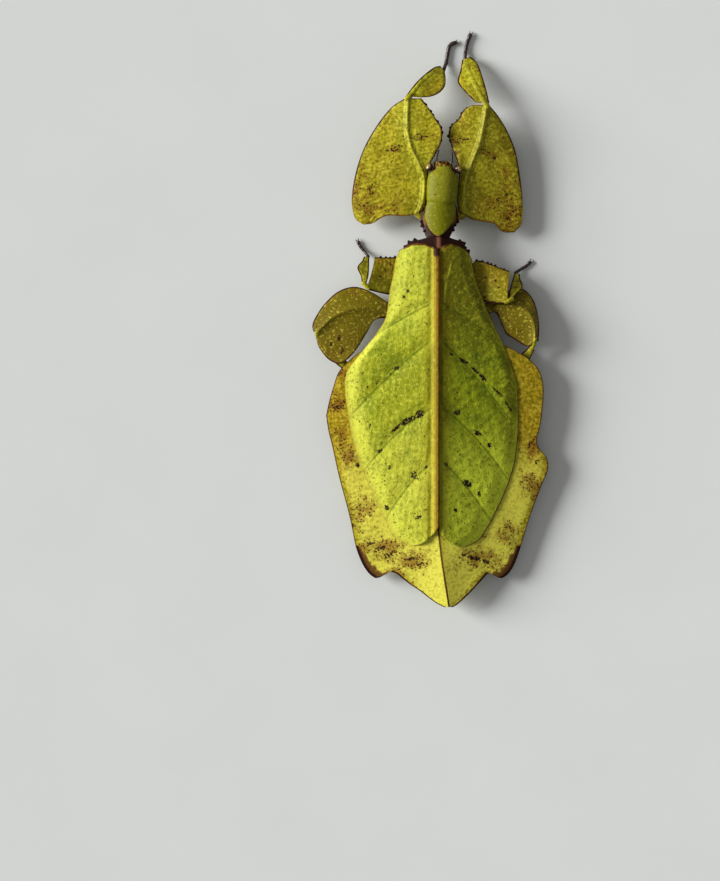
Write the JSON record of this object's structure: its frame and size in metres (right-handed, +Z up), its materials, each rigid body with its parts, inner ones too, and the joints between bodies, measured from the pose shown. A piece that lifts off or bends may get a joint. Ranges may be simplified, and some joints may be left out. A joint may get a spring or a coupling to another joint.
{
  "type": "leaf insect",
  "caption": "Flat female leaf insect with leaf-shaped body, veined fore wings folded over the back and broad lobed legs, lying on its feet and belly.",
  "frame": {"origin": "on the floor under the middle of the whole insect's box", "axes": "+Y towards the head along the body, +X to the insect's right side, +Z up from the floor"},
  "size_m": [0.0588, 0.1438, 0.0106],
  "materials": {
    "wing": "yellow-green veined wing, satin",
    "body": "olive to golden insect cuticle, satin",
    "leg": "olive-gold leg lobes with red-brown edges, satin",
    "dark": "blackish brown feet and feelers, satin",
    "eye": "glossy cream eye"
  },
  "bodies": {
    "root": {"head": "body", "prothorax": "body", "mesothorax": "body", "metathorax": "body", "abdomen_front": "body", "abdomen_rear": "body", "abdomen_tip": "body", "labrum": "body", "subgenital_plate": "body", "fore_wing_left": "wing", "eye_left": "eye", "antenna_left": "dark", "palp_left": "dark", "mandible_left": "dark", "cercus_left": "body", "fore_coxa_left": "leg", "fore_femur_left": "leg", "fore_tibia_left": "leg", "fore_tarsus_left": "dark", "mid_coxa_left": "leg", "mid_femur_left": "leg", "mid_tibia_left": "leg", "mid_tarsus_left": "dark", "hind_coxa_left": "leg", "hind_femur_left": "leg", "hind_tibia_left": "leg", "hind_tarsus_left": "dark", "fore_wing_right": "wing", "eye_right": "eye", "antenna_right": "dark", "palp_right": "dark", "mandible_right": "dark", "cercus_right": "body", "fore_coxa_right": "leg", "fore_femur_right": "leg", "fore_tibia_right": "leg", "fore_tarsus_right": "dark", "mid_coxa_right": "leg", "mid_femur_right": "leg", "mid_tibia_right": "leg", "mid_tarsus_right": "dark", "hind_coxa_right": "leg", "hind_femur_right": "leg", "hind_tibia_right": "leg", "hind_tarsus_right": "dark"}
  },
  "joints": []
}
